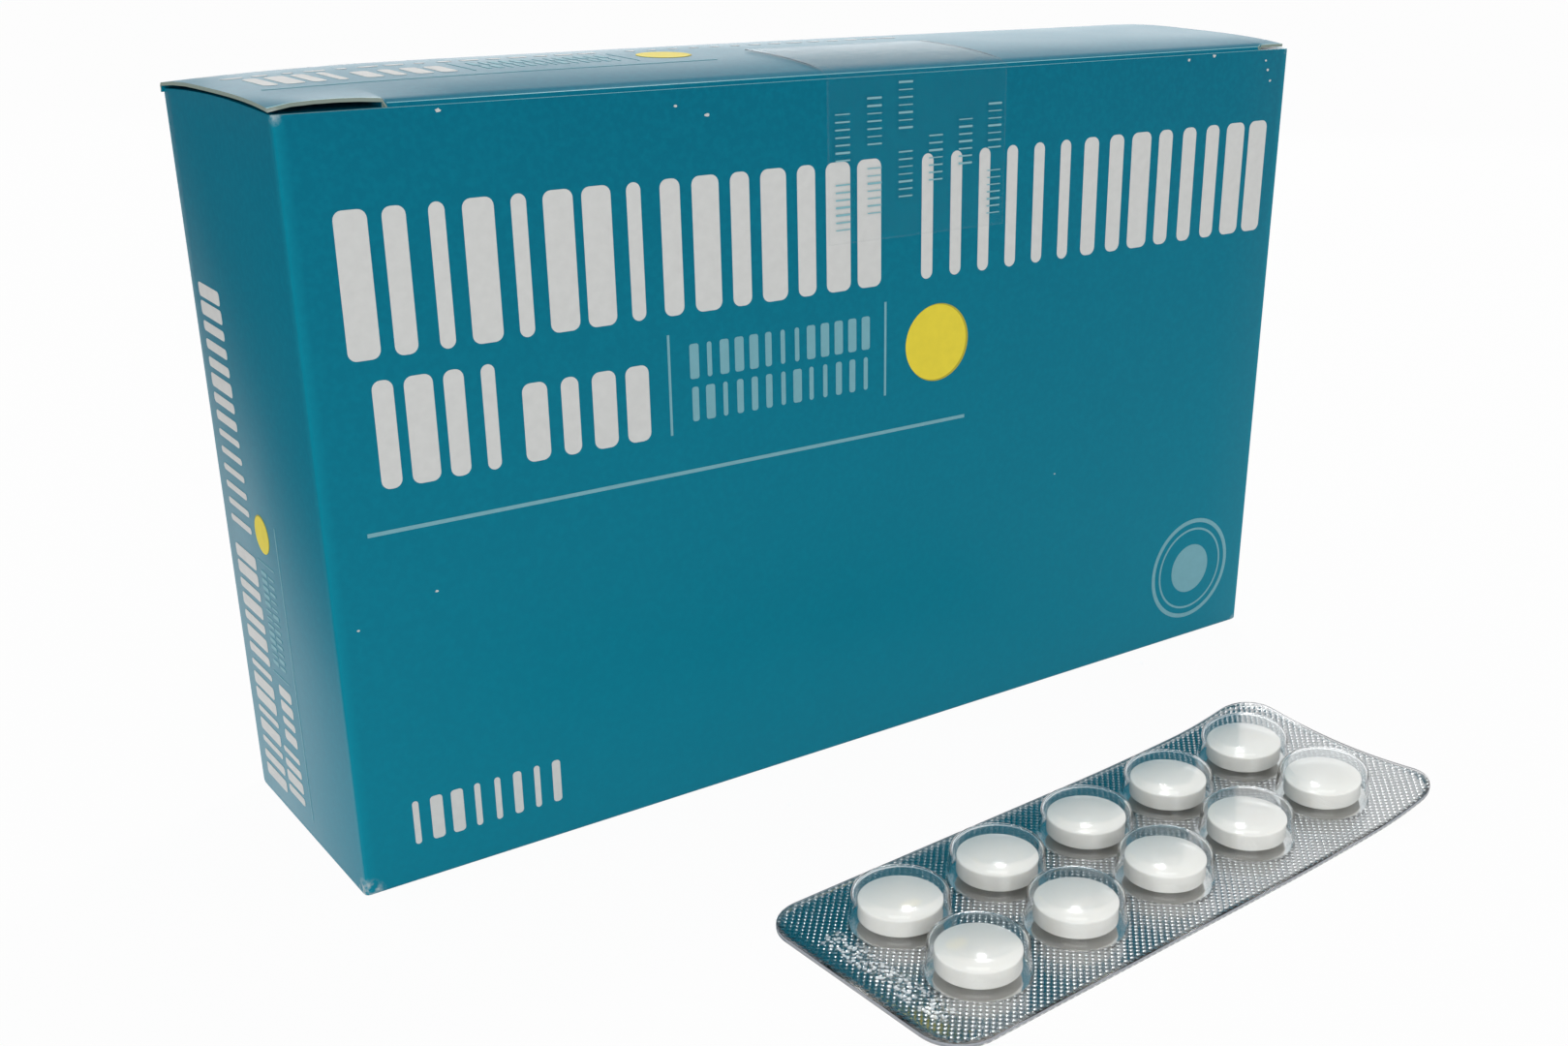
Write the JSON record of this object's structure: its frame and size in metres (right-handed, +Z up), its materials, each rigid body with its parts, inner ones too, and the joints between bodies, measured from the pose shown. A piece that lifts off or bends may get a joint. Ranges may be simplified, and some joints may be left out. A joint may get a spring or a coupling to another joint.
{
  "type": "box of tablets with a blister strip",
  "caption": "Long folding carton of coated tablets, closed with a tucked lid and sealed with clear tape, with a clear foil-backed blister strip lying in front.",
  "frame": {"origin": "middle of the narrow face that the carton stands on", "axes": "+X along the carton's long front towards its right end, +Y from the front panel to the back panel, +Z up to the lid"},
  "size_m": [0.1342, 0.0928, 0.0832],
  "materials": {
    "printed_card": "teal print under gloss varnish, with off-white, pale blue and yellow print",
    "clear_tape": "clear adhesive tape with a pale repeated pattern",
    "clear_film": "clear thermoformed film",
    "lidding_foil": "bright foil with a fine pressed knurl",
    "tablet_coating": "satin white coating"
  },
  "bodies": {
    "root": {"carton": "printed_card", "seal_tape": "clear_tape", "blister_film": "clear_film", "blister_foil": "lidding_foil", "tablet_1": "tablet_coating", "tablet_2": "tablet_coating", "tablet_3": "tablet_coating", "tablet_4": "tablet_coating", "tablet_5": "tablet_coating", "tablet_6": "tablet_coating", "tablet_7": "tablet_coating", "tablet_8": "tablet_coating", "tablet_9": "tablet_coating", "tablet_10": "tablet_coating"}
  },
  "joints": []
}
